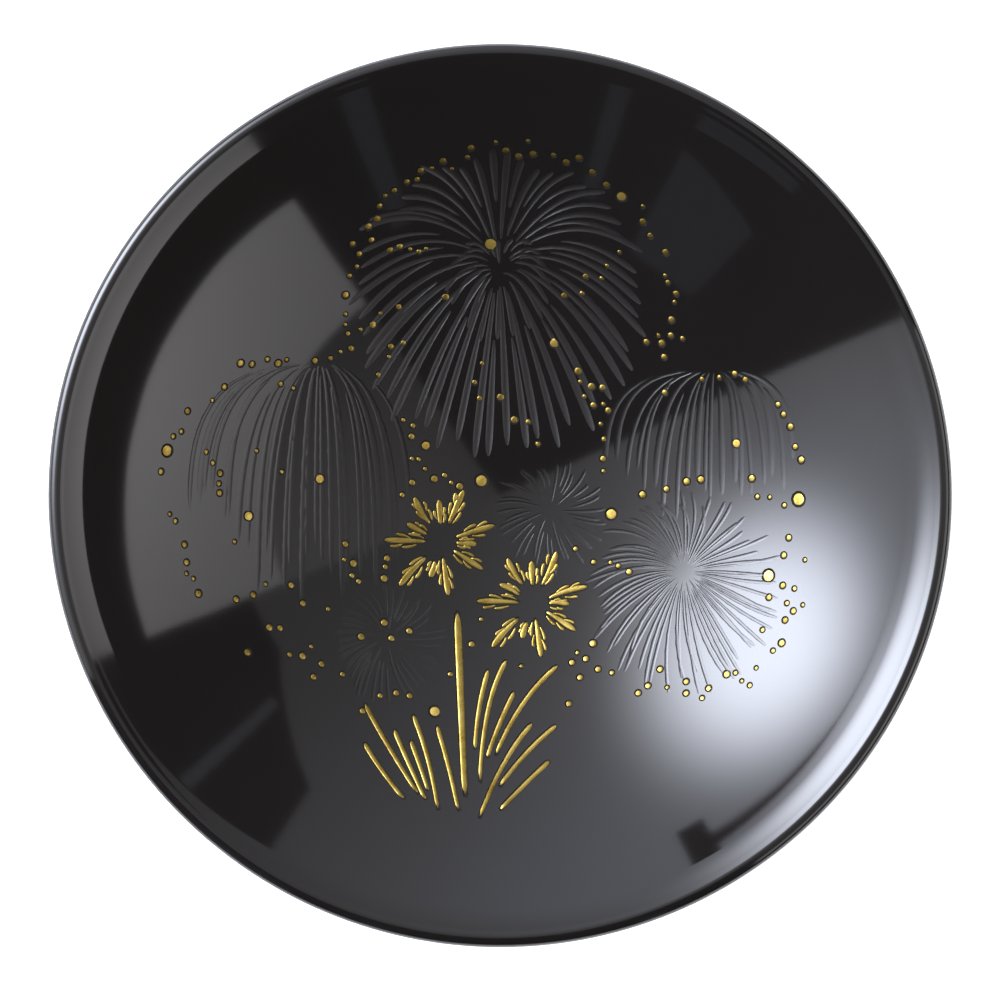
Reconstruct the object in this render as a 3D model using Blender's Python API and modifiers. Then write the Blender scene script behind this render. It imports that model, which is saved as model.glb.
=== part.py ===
"""Round lacquered serving bowl with gold inlay, built up in layers on a turned wood core.

The bowl stands on its foot at Z = 0, with its axis on Z and the fountain's base towards -Y.
Every layer of the wall is an offset of the inner surface, which is a sphere with an outward-turned lip.
Run with: blender --background --python part.py
"""

import math

import bmesh
import bpy
from mathutils import Vector

MM = 0.001
COLLECTION = "lacquered_bowl"

# Bowl, in millimetres
RIM_RADIUS = 120.0
DISH_RADIUS = 162.0
FLOOR_TOP = 9.5
FLOOR_THICKNESS = 6.5
LIP_THICKNESS = 4.6
STEEPEST = math.radians(41.8)
LIP_TILT = math.radians(23.0)

# Layers of the wall, in millimetres
LACQUER = 0.6
UNDERCOAT = 0.4
GAP = 0.2
BUTT_GAP = 0.3
UNDERCOAT_DEPTH = LACQUER + GAP
CORE_DEPTH = UNDERCOAT_DEPTH + UNDERCOAT + GAP

# Foot, in millimetres, measured over its lacquer
FOOT_TOP_RADIUS = 53.0
FOOT_BASE_RADIUS = 50.5
FOOT_INNER_RADIUS = 44.5
FOOT_EDGE = 0.8
FOOT_LACQUER = LACQUER + GAP + UNDERCOAT

# Places along the wall, in shares: 0 is the centre, 1 the steepest place and 2 the lip
STATIONS = [i / 8 for i in range(8)] + [1, 4 / 3, 5 / 3, 2]
FOOT_CLOTH_END = 5 / 8
CENTRE_CLOTH_END = 3 / 8
RIM_CLOTH_START = 4 / 3
OUTER_RIM_CLOTH_START = 5 / 3
SKIN_JOINT = 1.85
FLOOR_END = 0.5

SEGMENTS = 48
LIP_ARC_STEPS = 4

# Gold, in millimetres
GOLD_CLEARANCE = 0.55
GOLD_THICKNESS = 0.5
STROKE_WIDTH = 1.5
STROKE_STEPS = 5
STAR_SIDES = 12
PETAL_WIDTH = 2.6
PETAL_STEPS = 4

# Strokes of the fountain: tip, middle and base as (x, y) seen from above, in millimetres
STEM = ((-11.5, -30.5), (-10.5, -54.5), (-9.5, -77.0))
STEM_WIDTH = 2.4
LEFT_STROKES = (
    ((-36.5, -55.5), (-30.0, -67.0), (-23.0, -78.0)),
    ((-36.5, -66.0), (-32.0, -73.0), (-26.5, -80.0)),
    ((-28.5, -62.5), (-24.5, -71.5), (-20.5, -80.0)),
    ((-23.5, -58.5), (-19.5, -69.5), (-17.0, -82.0)),
    ((-24.0, -65.5), (-21.5, -72.0), (-19.5, -78.0)),
    ((-17.0, -61.5), (-14.0, -71.5), (-11.5, -82.5)),
)
RIGHT_STROKES = (
    ((-3.0, -46.5), (-5.5, -56.5), (-6.5, -66.5)),
    ((2.0, -44.0), (-3.0, -56.0), (-5.0, -74.0)),
    ((4.0, -52.5), (0.0, -61.0), (-3.0, -69.0)),
    ((16.0, -45.5), (7.0, -54.5), (0.0, -67.5)),
    ((9.0, -61.0), (2.0, -70.0), (-4.5, -84.0)),
    ((15.5, -61.5), (8.0, -68.0), (1.0, -76.5)),
    ((13.5, -71.0), (7.5, -76.5), (1.0, -83.0)),
)

# Petals of a burst: direction in degrees, then inner and outer radius in millimetres
PETALS = (
    (178, 3.4, 15.5),
    (151, 4.1, 10.5),
    (120, 5.4, 14.2),
    (92, 4.4, 11.5),
    (66, 4.8, 15.5),
    (17, 3.8, 15.5),
    (-2, 4.0, 9.8),
    (-33, 3.8, 13.8),
    (-82, 3.8, 14.8),
    (-107, 5.2, 10.0),
    (-133, 5.2, 16.5),
)
BURSTS = {"upper": (-16.0, -12.5), "lower": (9.0, -29.0)}

# Stars: the larger gold dots as (x, y, radius), in millimetres
STARS = (
    (-2.5, 67.5, 2.0),
    (-5.0, 4.0, 1.9),
    (-17.5, -58.0, 1.7),
    (32.5, 80.0, 1.6),
    (-89.0, 12.0, 1.8),
    (80.0, -1.0, 2.1),
    (30.0, -5.0, 1.7),
    (72.0, -21.5, 1.9),
    (-67.5, -5.5, 1.4),
    (-48.5, 4.5, 1.4),
    (63.5, 14.0, 1.3),
    (-20.0, 13.5, 1.3),
    (14.5, 41.0, 1.3),
)

# Colour, metallic value and roughness
FINISHES = {
    "wood": ((0.55, 0.36, 0.2, 1), 0, 0.7),
    "hemp_cloth": ((0.5, 0.42, 0.3, 1), 0, 0.9),
    "undercoat": ((0.09, 0.075, 0.065, 1), 0, 0.8),
    "black_lacquer": ((0.008, 0.007, 0.007, 1), 0, 0.06),
    "gold": ((0.85, 0.62, 0.2, 1), 1, 0.35),
}


def dish_centre_height():
    return FLOOR_TOP + DISH_RADIUS


def wall_thickness(share):
    """Even under the floor, then thinner towards the lip."""
    rise = max(0, share - FLOOR_END) / (2 - FLOOR_END)
    return FLOOR_THICKNESS + (LIP_THICKNESS - FLOOR_THICKNESS) * rise


def lip_curve_radius():
    """Radius of the curve that turns the wall outwards, so that the lip ends at the rim radius."""
    lip_start = DISH_RADIUS * math.sin(STEEPEST)
    lip_end = RIM_RADIUS - LIP_THICKNESS / 2 * (1 + math.sin(LIP_TILT))
    return (lip_end - lip_start) / (math.sin(STEEPEST) - math.sin(LIP_TILT))


def wall_point(share, depth):
    """(radius, height) of the place at a depth under the inner surface, measured square to it."""
    if share <= 1:
        tilt = share * STEEPEST
        reach = DISH_RADIUS + depth
        return reach * math.sin(tilt), dish_centre_height() - reach * math.cos(tilt)
    tilt = STEEPEST + (share - 1) * (LIP_TILT - STEEPEST)
    bend = lip_curve_radius()
    centre_radius = (DISH_RADIUS + bend) * math.sin(STEEPEST)
    centre_height = dish_centre_height() - (DISH_RADIUS + bend) * math.cos(STEEPEST)
    return (
        centre_radius - (bend - depth) * math.sin(tilt),
        centre_height + (bend - depth) * math.cos(tilt),
    )


def shares_between(start, end):
    """The ends and every station between them, in order from start to end."""
    low, high = min(start, end), max(start, end)
    shares = [low] + [s for s in STATIONS if low < s < high] + [high]
    return shares if start < end else shares[::-1]


def inner_side(start, end, depth):
    return [wall_point(share, depth) for share in shares_between(start, end)]


def outer_side(start, end, depth):
    return [wall_point(s, wall_thickness(s) - depth) for s in shares_between(start, end)]


def lip_arc(depth):
    """The round end of the lip, from the inner side to the outer side, without its end points."""
    middle_radius, middle_height = wall_point(2, LIP_THICKNESS / 2)
    reach = LIP_THICKNESS / 2 - depth
    points = []
    for step in range(1, LIP_ARC_STEPS):
        angle = math.pi / 2 + LIP_TILT - math.pi * step / LIP_ARC_STEPS
        points.append((middle_radius + reach * math.cos(angle), middle_height + reach * math.sin(angle)))
    return points


def half_butt(share):
    """Half of the gap between two layers that meet edge to edge, as a share along the wall."""
    dish_run = DISH_RADIUS * STEEPEST
    lip_run = lip_curve_radius() * (STEEPEST - LIP_TILT)
    return BUTT_GAP / 2 / (lip_run if share > 1 else dish_run)


def share_at(radius, depth):
    """Share along the wall where a sphere-shaped layer at that depth has that radius."""
    return math.asin(radius / (DISH_RADIUS + depth)) / STEEPEST


def make_collection(name):
    collection = bpy.data.collections.new(name)
    bpy.context.scene.collection.children.link(collection)
    return collection


def make_material(name):
    color, metallic, roughness = FINISHES[name]
    material = bpy.data.materials.new(name)
    material.use_nodes = True
    shader = material.node_tree.nodes["Principled BSDF"]
    shader.inputs["Base Color"].default_value = color
    shader.inputs["Metallic"].default_value = metallic
    shader.inputs["Roughness"].default_value = roughness
    material.diffuse_color = color
    return material


def add_object(name, mesh, finish):
    obj = bpy.data.objects.new(name, mesh)
    mesh.materials.append(MATERIALS[finish])
    PARTS.objects.link(obj)
    return obj


def turned(name, profile, finish, on_axis=False):
    """A turned solid. The profile runs down its outer side; on_axis leaves it open at the axis."""
    points = [(radius * MM, 0, height * MM) for radius, height in profile]
    edges = [(i, i + 1) for i in range(len(points) - 1)]
    if not on_axis:
        edges.append((len(points) - 1, 0))
    mesh = bpy.data.meshes.new(name)
    mesh.from_pydata(points, edges, [])
    obj = add_object(name, mesh, finish)
    screw = obj.modifiers.new("Turn", "SCREW")
    screw.steps = SEGMENTS
    screw.render_steps = SEGMENTS
    screw.use_merge_vertices = True
    screw.merge_threshold = 0.0001
    screw.use_smooth_shade = True
    return obj


def wood_core():
    profile = inner_side(0, 2, CORE_DEPTH) + lip_arc(CORE_DEPTH) + outer_side(2, 0, CORE_DEPTH)
    turned("wood_core", profile, "wood", on_axis=True)


def inner_lacquer():
    """Skin of the inside, which wraps the lip and ends just under it."""
    outside = inner_side(0, 2, 0) + lip_arc(0) + outer_side(2, SKIN_JOINT, 0)
    inside = outer_side(SKIN_JOINT, 2, LACQUER) + lip_arc(LACQUER)[::-1] + inner_side(2, 0, LACQUER)
    turned("inner_lacquer", outside + inside, "black_lacquer", on_axis=True)


def outer_lacquer():
    """Skin of the outside, from under the lip down to the foot."""
    top = SKIN_JOINT - 2 * half_butt(SKIN_JOINT)
    bottom = share_at(FOOT_TOP_RADIUS + BUTT_GAP, FLOOR_THICKNESS)
    profile = outer_side(top, bottom, 0) + outer_side(bottom, top, LACQUER)
    turned("outer_lacquer", profile, "black_lacquer")


def undercoats():
    """Cloth at the centre, the lip and the foot joint, and a clay and lacquer coat level with it between."""
    below = UNDERCOAT_DEPTH + UNDERCOAT
    dish_butt, lip_butt = half_butt(0), half_butt(2)

    end = CENTRE_CLOTH_END - dish_butt
    cloth = inner_side(0, end, UNDERCOAT_DEPTH) + inner_side(end, 0, below)
    turned("centre_cloth", cloth, "hemp_cloth", on_axis=True)

    start, end = CENTRE_CLOTH_END + dish_butt, RIM_CLOTH_START - lip_butt
    coat = inner_side(start, end, UNDERCOAT_DEPTH) + inner_side(end, start, below)
    turned("inner_undercoat", coat, "undercoat")

    start, end = RIM_CLOTH_START + lip_butt, OUTER_RIM_CLOTH_START + lip_butt
    outside = inner_side(start, 2, UNDERCOAT_DEPTH) + lip_arc(UNDERCOAT_DEPTH)
    outside += outer_side(2, end, UNDERCOAT_DEPTH)
    inside = outer_side(end, 2, below) + lip_arc(below)[::-1] + inner_side(2, start, below)
    turned("rim_cloth", outside + inside, "hemp_cloth")

    start, end = FOOT_CLOTH_END + dish_butt, OUTER_RIM_CLOTH_START - lip_butt
    coat = outer_side(end, start, UNDERCOAT_DEPTH) + outer_side(start, end, below)
    turned("outer_undercoat", coat, "undercoat")

    start = share_at(FOOT_TOP_RADIUS + BUTT_GAP, FLOOR_THICKNESS)
    end = FOOT_CLOTH_END - dish_butt
    cloth = outer_side(end, start, UNDERCOAT_DEPTH) + outer_side(start, end, below)
    turned("foot_cloth", cloth, "hemp_cloth")


def foot_ring():
    """Ring of wood glued under the core."""
    skin = FOOT_LACQUER + GAP
    top_depth = FLOOR_THICKNESS - CORE_DEPTH + GAP
    inner, outer = FOOT_INNER_RADIUS + skin, FOOT_TOP_RADIUS - skin
    profile = [
        wall_point(share_at(inner, top_depth), top_depth),
        wall_point(share_at(outer, top_depth), top_depth),
        (FOOT_BASE_RADIUS - skin, skin),
        (inner, skin),
    ]
    turned("foot_ring", profile, "wood")


def foot_lacquer():
    """Skin of the foot and of the base inside it, laid thick over its own undercoat."""
    inner_edge = FOOT_INNER_RADIUS + FOOT_LACQUER
    outer_edge = FOOT_TOP_RADIUS - FOOT_LACQUER
    inner_top = share_at(FOOT_INNER_RADIUS, FLOOR_THICKNESS)
    outer_top = share_at(FOOT_TOP_RADIUS, FLOOR_THICKNESS)
    hidden_depth = FLOOR_THICKNESS - FOOT_LACQUER
    hidden = outer_side(0, share_at(inner_edge, hidden_depth), FOOT_LACQUER)
    hidden += [
        (inner_edge, FOOT_LACQUER),
        (FOOT_BASE_RADIUS - FOOT_LACQUER, FOOT_LACQUER),
        wall_point(share_at(outer_edge, hidden_depth), hidden_depth),
        wall_point(outer_top, hidden_depth),
    ]
    shown = [
        wall_point(outer_top, FLOOR_THICKNESS),
        (FOOT_BASE_RADIUS, FOOT_EDGE),
        (FOOT_BASE_RADIUS - FOOT_EDGE, 0),
        (FOOT_INNER_RADIUS + FOOT_EDGE, 0),
        (FOOT_INNER_RADIUS, FOOT_EDGE),
    ]
    shown += outer_side(inner_top, 0, 0)
    turned("foot_lacquer", hidden + shown, "black_lacquer", on_axis=True)


def on_dish(x, y, height):
    """The place over (x, y) at a height above the inner surface, in metres."""
    centre = Vector((0, 0, dish_centre_height()))
    foot = Vector((x, y, dish_centre_height() - math.sqrt(DISH_RADIUS**2 - x * x - y * y)))
    return (centre + (foot - centre) * (1 - height / DISH_RADIUS)) * MM


def curve_through(start, middle, end, share):
    """The point on the smooth arc through three points, for a share from 0 to 1."""
    before, at, after = Vector(start), Vector(middle), Vector(end)
    control = 2 * at - (before + after) / 2
    return (1 - share) ** 2 * before + 2 * share * (1 - share) * control + share**2 * after


def gold_leaf(name, path, width, steps, round_ends):
    """A strip of gold laid along a path on the dish. width(share) is its full width there."""
    mesh = bpy.data.meshes.new(name)
    grid = bmesh.new()
    bmesh.ops.create_grid(grid, x_segments=steps, y_segments=2, size=1)
    for vertex in grid.verts:
        share = (vertex.co.x + 1) / 2
        across = vertex.co.y
        here, ahead = path(share), path(share + 0.01)
        along = (ahead - here).normalized()
        side = Vector((-along.y, along.x)) * across * width(share) / 2
        bulge = along * round_ends * (1 - abs(across)) * (2 * share - 1)
        place = here + side + bulge
        vertex.co = on_dish(place.x, place.y, GOLD_CLEARANCE)
    grid.to_mesh(mesh)
    grid.free()
    obj = add_object(name, mesh, "gold")
    solidify = obj.modifiers.new("Thickness", "SOLIDIFY")
    solidify.thickness = GOLD_THICKNESS * MM
    solidify.offset = 1
    return obj


def fountain_stroke(name, points, width):
    """A stroke of the fountain: widest a third of the way down from its tip."""

    def path(share):
        return curve_through(*points, share)

    def width_at(share):
        return width * (0.6 + 0.4 * math.sin(math.pi * share**0.7))

    gold_leaf(name, path, width_at, STROKE_STEPS, width / 3)


def petal(name, centre, degrees, inner, outer):
    """A feathery petal of a burst, widest past its middle and pointed at its tip."""
    direction = Vector((math.cos(math.radians(degrees)), math.sin(math.radians(degrees))))

    def path(share):
        return Vector(centre) + direction * (inner + (outer - inner) * share)

    def width_at(share):
        return PETAL_WIDTH * (0.35 + 0.65 * math.sin(math.pi * share**1.2)) * (1 - 0.3 * share)

    gold_leaf(name, path, width_at, PETAL_STEPS, 0.5)


def star(name, x, y, radius):
    """A large gold dot: a short drum with its upper edge rounded over."""
    middle = on_dish(x, y, GOLD_CLEARANCE + GOLD_THICKNESS / 2)
    up = Vector((0, 0, dish_centre_height() * MM)) - middle
    mesh = bpy.data.meshes.new(name)
    drum = bmesh.new()
    bmesh.ops.create_cone(
        drum,
        cap_ends=True,
        segments=STAR_SIDES,
        radius1=radius * MM,
        radius2=0.75 * radius * MM,
        depth=GOLD_THICKNESS * MM,
    )
    drum.to_mesh(mesh)
    drum.free()
    obj = add_object(name, mesh, "gold")
    obj.location = middle
    obj.rotation_mode = "QUATERNION"
    obj.rotation_quaternion = up.to_track_quat("Z", "Y")


def gold():
    fountain_stroke("gold_stem", STEM, STEM_WIDTH)
    for side, strokes in (("left", LEFT_STROKES), ("right", RIGHT_STROKES)):
        for number, points in enumerate(strokes, 1):
            fountain_stroke(f"gold_stroke_{side}_{number}", points, STROKE_WIDTH)
    for place, centre in BURSTS.items():
        for number, shape in enumerate(PETALS, 1):
            petal(f"gold_petal_{place}_{number:02d}", centre, *shape)
    for number, shape in enumerate(STARS, 1):
        star(f"gold_star_{number:02d}", *shape)


for old in list(bpy.data.objects):
    bpy.data.objects.remove(old, do_unlink=True)

PARTS = make_collection(COLLECTION)
MATERIALS = {name: make_material(name) for name in FINISHES}

wood_core()
foot_ring()
undercoats()
inner_lacquer()
outer_lacquer()
foot_lacquer()
gold()
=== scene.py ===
"""Looks of a black lacquer bowl with fireworks cut into its inside, some of them laid with gold.

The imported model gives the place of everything. The lacquer is one skin, turned on Z and carved by
cutters that follow the strokes, and gold inlays lie in the cuts. Sizes and plan positions are in
millimetres, seen from above, with the foot of the gold fountain towards -Y.
"""

import math
import random

import bmesh
import bpy
from bpy.props import FloatProperty, FloatVectorProperty, IntProperty, PointerProperty
from mathutils import Matrix, Vector


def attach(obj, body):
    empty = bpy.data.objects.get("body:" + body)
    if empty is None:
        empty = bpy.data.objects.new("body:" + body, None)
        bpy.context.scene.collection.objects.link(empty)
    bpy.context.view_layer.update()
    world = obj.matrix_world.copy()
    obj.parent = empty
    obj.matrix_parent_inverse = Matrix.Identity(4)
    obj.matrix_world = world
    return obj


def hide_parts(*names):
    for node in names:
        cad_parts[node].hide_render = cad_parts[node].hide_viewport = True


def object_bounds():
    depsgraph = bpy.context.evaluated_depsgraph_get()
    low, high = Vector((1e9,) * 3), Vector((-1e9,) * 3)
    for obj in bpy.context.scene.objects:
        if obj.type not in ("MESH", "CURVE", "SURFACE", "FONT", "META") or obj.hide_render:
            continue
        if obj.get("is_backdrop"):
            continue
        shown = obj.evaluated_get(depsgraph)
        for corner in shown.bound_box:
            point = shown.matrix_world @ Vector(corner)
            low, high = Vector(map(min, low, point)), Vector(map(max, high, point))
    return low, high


bl_info = {
    "name": "Fireworks lacquer bowl",
    "version": (1, 0, 0),
    "blender": (4, 5, 0),
    "location": "View3D > Sidebar > Bowl",
    "description": "Builds a black lacquer bowl with engraved and gold-laid fireworks",
    "category": "Object",
}

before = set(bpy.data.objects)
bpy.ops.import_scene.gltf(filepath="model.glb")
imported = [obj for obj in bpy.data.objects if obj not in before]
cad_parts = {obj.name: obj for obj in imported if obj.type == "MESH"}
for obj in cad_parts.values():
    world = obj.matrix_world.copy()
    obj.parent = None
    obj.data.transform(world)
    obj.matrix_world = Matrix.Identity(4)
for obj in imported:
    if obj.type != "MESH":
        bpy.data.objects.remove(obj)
CAD_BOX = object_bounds()
MM = 0.001
BODY = "root"


# ---------------- sizes and colours


class BowlShape(bpy.types.PropertyGroup):
    """Sizes of the turned bowl, in millimetres."""

    rim_radius: FloatProperty(name="Rim radius", description="Radius of the bowl at its lip", default=120.0)
    dish_radius: FloatProperty(
        name="Dish radius", description="Radius of the hollow inside of the bowl", default=162.0
    )
    floor_top: FloatProperty(
        name="Floor top", description="Height of the middle of the inside", default=9.5
    )
    floor_thickness: FloatProperty(
        name="Floor thickness", description="Thickness of the wall over the foot", default=6.5
    )
    lip_thickness: FloatProperty(
        name="Lip thickness", description="Thickness of the wall at the lip", default=4.6
    )
    steepest: FloatProperty(
        name="Steepest slope",
        description="Slope of the wall where it starts to turn outwards",
        default=math.radians(41.8),
        subtype="ANGLE",
    )
    lip_tilt: FloatProperty(
        name="Lip slope", description="Slope at the lip", default=math.radians(23.0), subtype="ANGLE"
    )
    straight_run: FloatProperty(
        name="Straight run", description="Length of straight wall under the bend of the lip", default=2.7
    )
    bead_proud: FloatProperty(
        name="Bead height", description="How far the lip's bead stands over the inside", default=0.18
    )
    foot_top_radius: FloatProperty(
        name="Foot top radius", description="Outer radius of the foot where it meets the wall", default=53.0
    )
    foot_inner_radius: FloatProperty(
        name="Foot inner radius", description="Inner radius of the foot", default=44.5
    )
    segments: IntProperty(
        name="Segments", description="Facets round the bowl", default=240, min=48, max=360
    )


class BowlDecoration(bpy.types.PropertyGroup):
    """Sizes of the strokes and the gold, in millimetres."""

    stroke_depth: FloatProperty(
        name="Stroke depth", description="Depth of the broad engraved strokes", default=0.2
    )
    gold_sink: FloatProperty(
        name="Gold sink", description="How far the top of the gold lies under the lacquer", default=0.03
    )
    gold_dome: FloatProperty(
        name="Gold dome", description="How far the edge of the gold falls under its middle", default=0.16
    )
    gold_stroke_width: FloatProperty(
        name="Gold stroke width", description="Width of the cut of a fountain stroke", default=1.75
    )
    run_on: FloatProperty(
        name="Run on", description="Extra foot of a fountain stroke, as a share of half of it", default=0.22
    )
    dot_radius: FloatProperty(
        name="Dot radius", description="Radius of a usual small gold dot", default=0.92
    )


class BowlFinish(bpy.types.PropertyGroup):
    """Colours and gloss of the bowl."""

    lacquer: FloatVectorProperty(
        name="Lacquer", description="Its black colour", default=(0.0032, 0.0026, 0.0025), subtype="COLOR"
    )
    gold_deep: FloatVectorProperty(
        name="Deep gold", description="Colour of thin gold", default=(0.17, 0.107, 0.016), subtype="COLOR"
    )
    gold_bright: FloatVectorProperty(
        name="Bright gold", description="Colour of thick gold", default=(0.42, 0.31, 0.08), subtype="COLOR"
    )
    lacquer_roughness: FloatProperty(
        name="Lacquer roughness", description="Roughness of its polish", default=0.05, subtype="FACTOR"
    )
    cut_roughness: FloatProperty(
        name="Cut roughness", description="Roughness in the broad cuts", default=0.34, subtype="FACTOR"
    )
    gold_roughness: FloatProperty(
        name="Gold roughness", description="Roughness of the gold", default=0.29, subtype="FACTOR"
    )


# ---------------- shader wiring


class Wire:
    """A shader socket. Sums, differences and products of wires add their Math nodes."""

    def __init__(self, tree, socket=None):
        self.tree = tree
        self.socket = socket

    def node(self, kind, settings=None, inputs=None, output=0, stops=None):
        """Adds a node: its settings first, a ramp's stops next, then its sockets' values or links."""
        made = self.tree.nodes.new(kind)
        for key, value in (settings or {}).items():
            setattr(made, key, value)
        if stops:
            ramp = made.color_ramp
            while len(ramp.elements) < len(stops):
                ramp.elements.new(1)
            for element, (place, color) in zip(ramp.elements, stops):
                element.position = place
                element.color = (*color, 1)
        for key, value in (inputs or {}).items():
            socket = made.inputs[key]
            if isinstance(value, Wire):
                self.tree.links.new(value.socket, socket)
            else:
                socket.default_value = value
        return Wire(self.tree, made.outputs[output])

    def math(self, operation, first, second):
        return self.node("ShaderNodeMath", {"operation": operation}, {0: first, 1: second})

    def __add__(self, other):
        return self.math("ADD", self, other)

    __radd__ = __add__

    def __mul__(self, other):
        return self.math("MULTIPLY", self, other)

    __rmul__ = __mul__

    def __sub__(self, other):
        return self.math("SUBTRACT", self, other)

    def __rsub__(self, other):
        return self.math("SUBTRACT", other, self)

    def noise(self, place, scale, detail=2.0, roughness=0.5):
        inputs = {"Vector": place, "Scale": scale, "Detail": detail, "Roughness": roughness}
        return self.node("ShaderNodeTexNoise", {"noise_dimensions": "3D"}, inputs)

    def ramp(self, factor, *stops):
        return self.node("ShaderNodeValToRGB", None, {"Fac": factor}, stops=stops)

    def mix(self, factor, first, second):
        """A colour between two colours."""
        inputs = {"Factor": factor, 6: first, 7: second}
        return self.node("ShaderNodeMix", {"data_type": "RGBA"}, inputs, output=2)

    def bump(self, height, distance, strength=1.0, normal=None):
        inputs = {"Height": height, "Distance": distance, "Strength": strength}
        if normal:
            inputs["Normal"] = normal
        return self.node("ShaderNodeBump", None, inputs)


def new_material(name, **values):
    """A material with its Principled shader; values set that shader's own sockets."""
    material = bpy.data.materials.new(name)
    material.use_nodes = True
    tree = material.node_tree
    shader = tree.nodes["Principled BSDF"]
    for key, value in values.items():
        shader.inputs[key.replace("_", " ")].default_value = value
    return material, Wire(tree), shader


def feed(wire, shader, **wires):
    """Links wires to the sockets of a shader."""
    for key, value in wires.items():
        wire.tree.links.new(value.socket, shader.inputs[key.replace("_", " ")])


def object_place(wire):
    return wire.node("ShaderNodeTexCoord", output="Object")


def opaque(color):
    return (*color, 1.0)


def lacquer_material(name, finish, roughness, wear, painted_light_gain=1.0):
    """Black lacquer: faint long waves, fine rubbing marks, specks of dust and slightly duller patches. A
    gain above one paints its black paler, as painted light.
    """
    material, wire, shader = new_material(name, IOR=1.54)
    place = object_place(wire)
    clouds = wire.noise(place, 22.0, detail=3.0)
    dust = wire.noise(place, 1900.0)
    stretch = {"Vector": place, "Rotation": (0.0, 0.0, 0.6), "Scale": (90.0, 2600.0, 400.0)}
    rubbed = wire.node("ShaderNodeMapping", None, stretch)
    marks = wire.noise(rubbed, 1.0)
    # A gain above one paints the black paler than it is: painted light.
    dark = [part * painted_light_gain for part in finish.lacquer]
    base = wire.mix(clouds, opaque(dark), opaque([part * 1.7 for part in dark]))
    specks = wire.ramp(dust, (0.0, (0, 0, 0)), (0.7, (0, 0, 0)), (0.76, (1, 1, 1)))
    speckled = wire.mix(specks * 0.25, base, (0.05, 0.046, 0.042, 1.0))
    dullness = roughness + wear * (clouds * 0.5 + marks * 0.5)
    waves = wire.noise(place, 38.0, detail=1.0)
    swell = wire.bump(waves, 0.00004)
    skin = wire.bump(marks, 0.0000012, normal=swell)
    feed(wire, shader, Base_Color=speckled, Roughness=dullness, Normal=skin)
    return material


def bed_material():
    """The raw, dull black lacquer that the gold is pressed into."""
    material, wire, shader = new_material("gold_bed", IOR=1.3)
    grain = wire.noise(object_place(wire), 1500.0)
    base = wire.mix(grain, (0.0025, 0.002, 0.0015, 1.0), (0.009, 0.007, 0.004, 1.0))
    feed(wire, shader, Base_Color=base, Roughness=0.6 + grain * 0.3, Normal=wire.bump(grain, 0.00005))
    return material


def gold_material(name, finish, roughness, painted_light_gain=1.0):
    """Gold powder pressed into a cut: warm where it is thin, bright where it is thick. A gain above one
    paints both colours brighter, as painted light.
    """
    material, wire, shader = new_material(name, Metallic=1.0)
    place = object_place(wire)
    patches = wire.noise(place, 260.0, detail=3.0)
    grain = wire.noise(place, 2400.0, detail=3.0, roughness=0.65)
    depth = wire.ramp(patches * 0.55 + grain * 0.45, (0.34, (0, 0, 0)), (0.6, (1, 1, 1)))
    # A gain above one makes the gold brighter than it is: painted light.
    thin, thick = ([part * painted_light_gain for part in color] for color in (finish.gold_deep, finish.gold_bright))
    base = wire.mix(depth, opaque(thin), opaque(thick))
    rough = roughness + (1 - depth) * 0.2
    pressed = wire.bump(grain * 0.7 + patches * 0.3, 0.00012, 0.7)
    feed(wire, shader, Base_Color=base, Roughness=rough, Normal=pressed)
    return material


def wood_material():
    """Turned hardwood with growth rings and pores, cut across the grain."""
    material, wire, shader = new_material("turned_wood")
    stretch = {"Vector": object_place(wire), "Rotation": (0.2, 0.1, 0.4), "Scale": (1.0, 0.22, 1.0)}
    bent = wire.node("ShaderNodeMapping", None, stretch)
    rings = wire.node(
        "ShaderNodeTexWave",
        {"wave_type": "BANDS", "wave_profile": "SAW"},
        {"Vector": bent, "Scale": 62.0, "Distortion": 5.0, "Detail": 3.0, "Detail Scale": 1.4},
    )
    pores = wire.noise(bent, 1500.0)
    base = wire.ramp(rings, (0.0, (0.6, 0.4, 0.22)), (0.8, (0.46, 0.28, 0.14)), (1.0, (0.3, 0.17, 0.08)))
    dark = wire.mix(pores * 0.35, base, (0.2, 0.11, 0.05, 1.0))
    rough = 0.55 + pores * 0.25
    relief = wire.bump(pores * 0.6 + rings * 0.4, 0.00008)
    feed(wire, shader, Base_Color=dark, Roughness=rough, Normal=relief)
    return material


def cloth_material():
    """Plain hemp weave soaked in lacquer."""
    material, wire, shader = new_material("hemp_cloth")
    place = object_place(wire)
    threads = []
    for direction in ("X", "Y"):
        settings = {"wave_type": "BANDS", "bands_direction": direction}
        inputs = {"Vector": place, "Scale": 340.0, "Distortion": 0.8, "Detail": 1.0}
        threads.append(wire.node("ShaderNodeTexWave", settings, inputs))
    weave = threads[0] * threads[1]
    slubs = wire.noise(place, 420.0)
    base = wire.mix(weave * 0.6 + slubs * 0.4, (0.16, 0.11, 0.07, 1.0), (0.52, 0.43, 0.3, 1.0))
    feed(wire, shader, Base_Color=base, Roughness=0.75 + slubs * 0.2, Normal=wire.bump(weave, 0.0002))
    return material


def undercoat_material():
    """Clay and lacquer ground, rubbed flat with a stone."""
    material, wire, shader = new_material("undercoat")
    place = object_place(wire)
    blots = wire.noise(place, 90.0, detail=4.0)
    grit = wire.noise(place, 1600.0)
    base = wire.mix(blots * 0.7 + grit * 0.3, (0.05, 0.04, 0.034, 1.0), (0.14, 0.12, 0.1, 1.0))
    feed(wire, shader, Base_Color=base, Roughness=0.65 + grit * 0.3, Normal=wire.bump(grit, 0.00006))
    return material


# ---------------- the dish and places on it


def sphere_centre(shape):
    """The centre of the sphere that the inside of the bowl is a part of."""
    return Vector((0, 0, shape.floor_top + shape.dish_radius))


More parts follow.
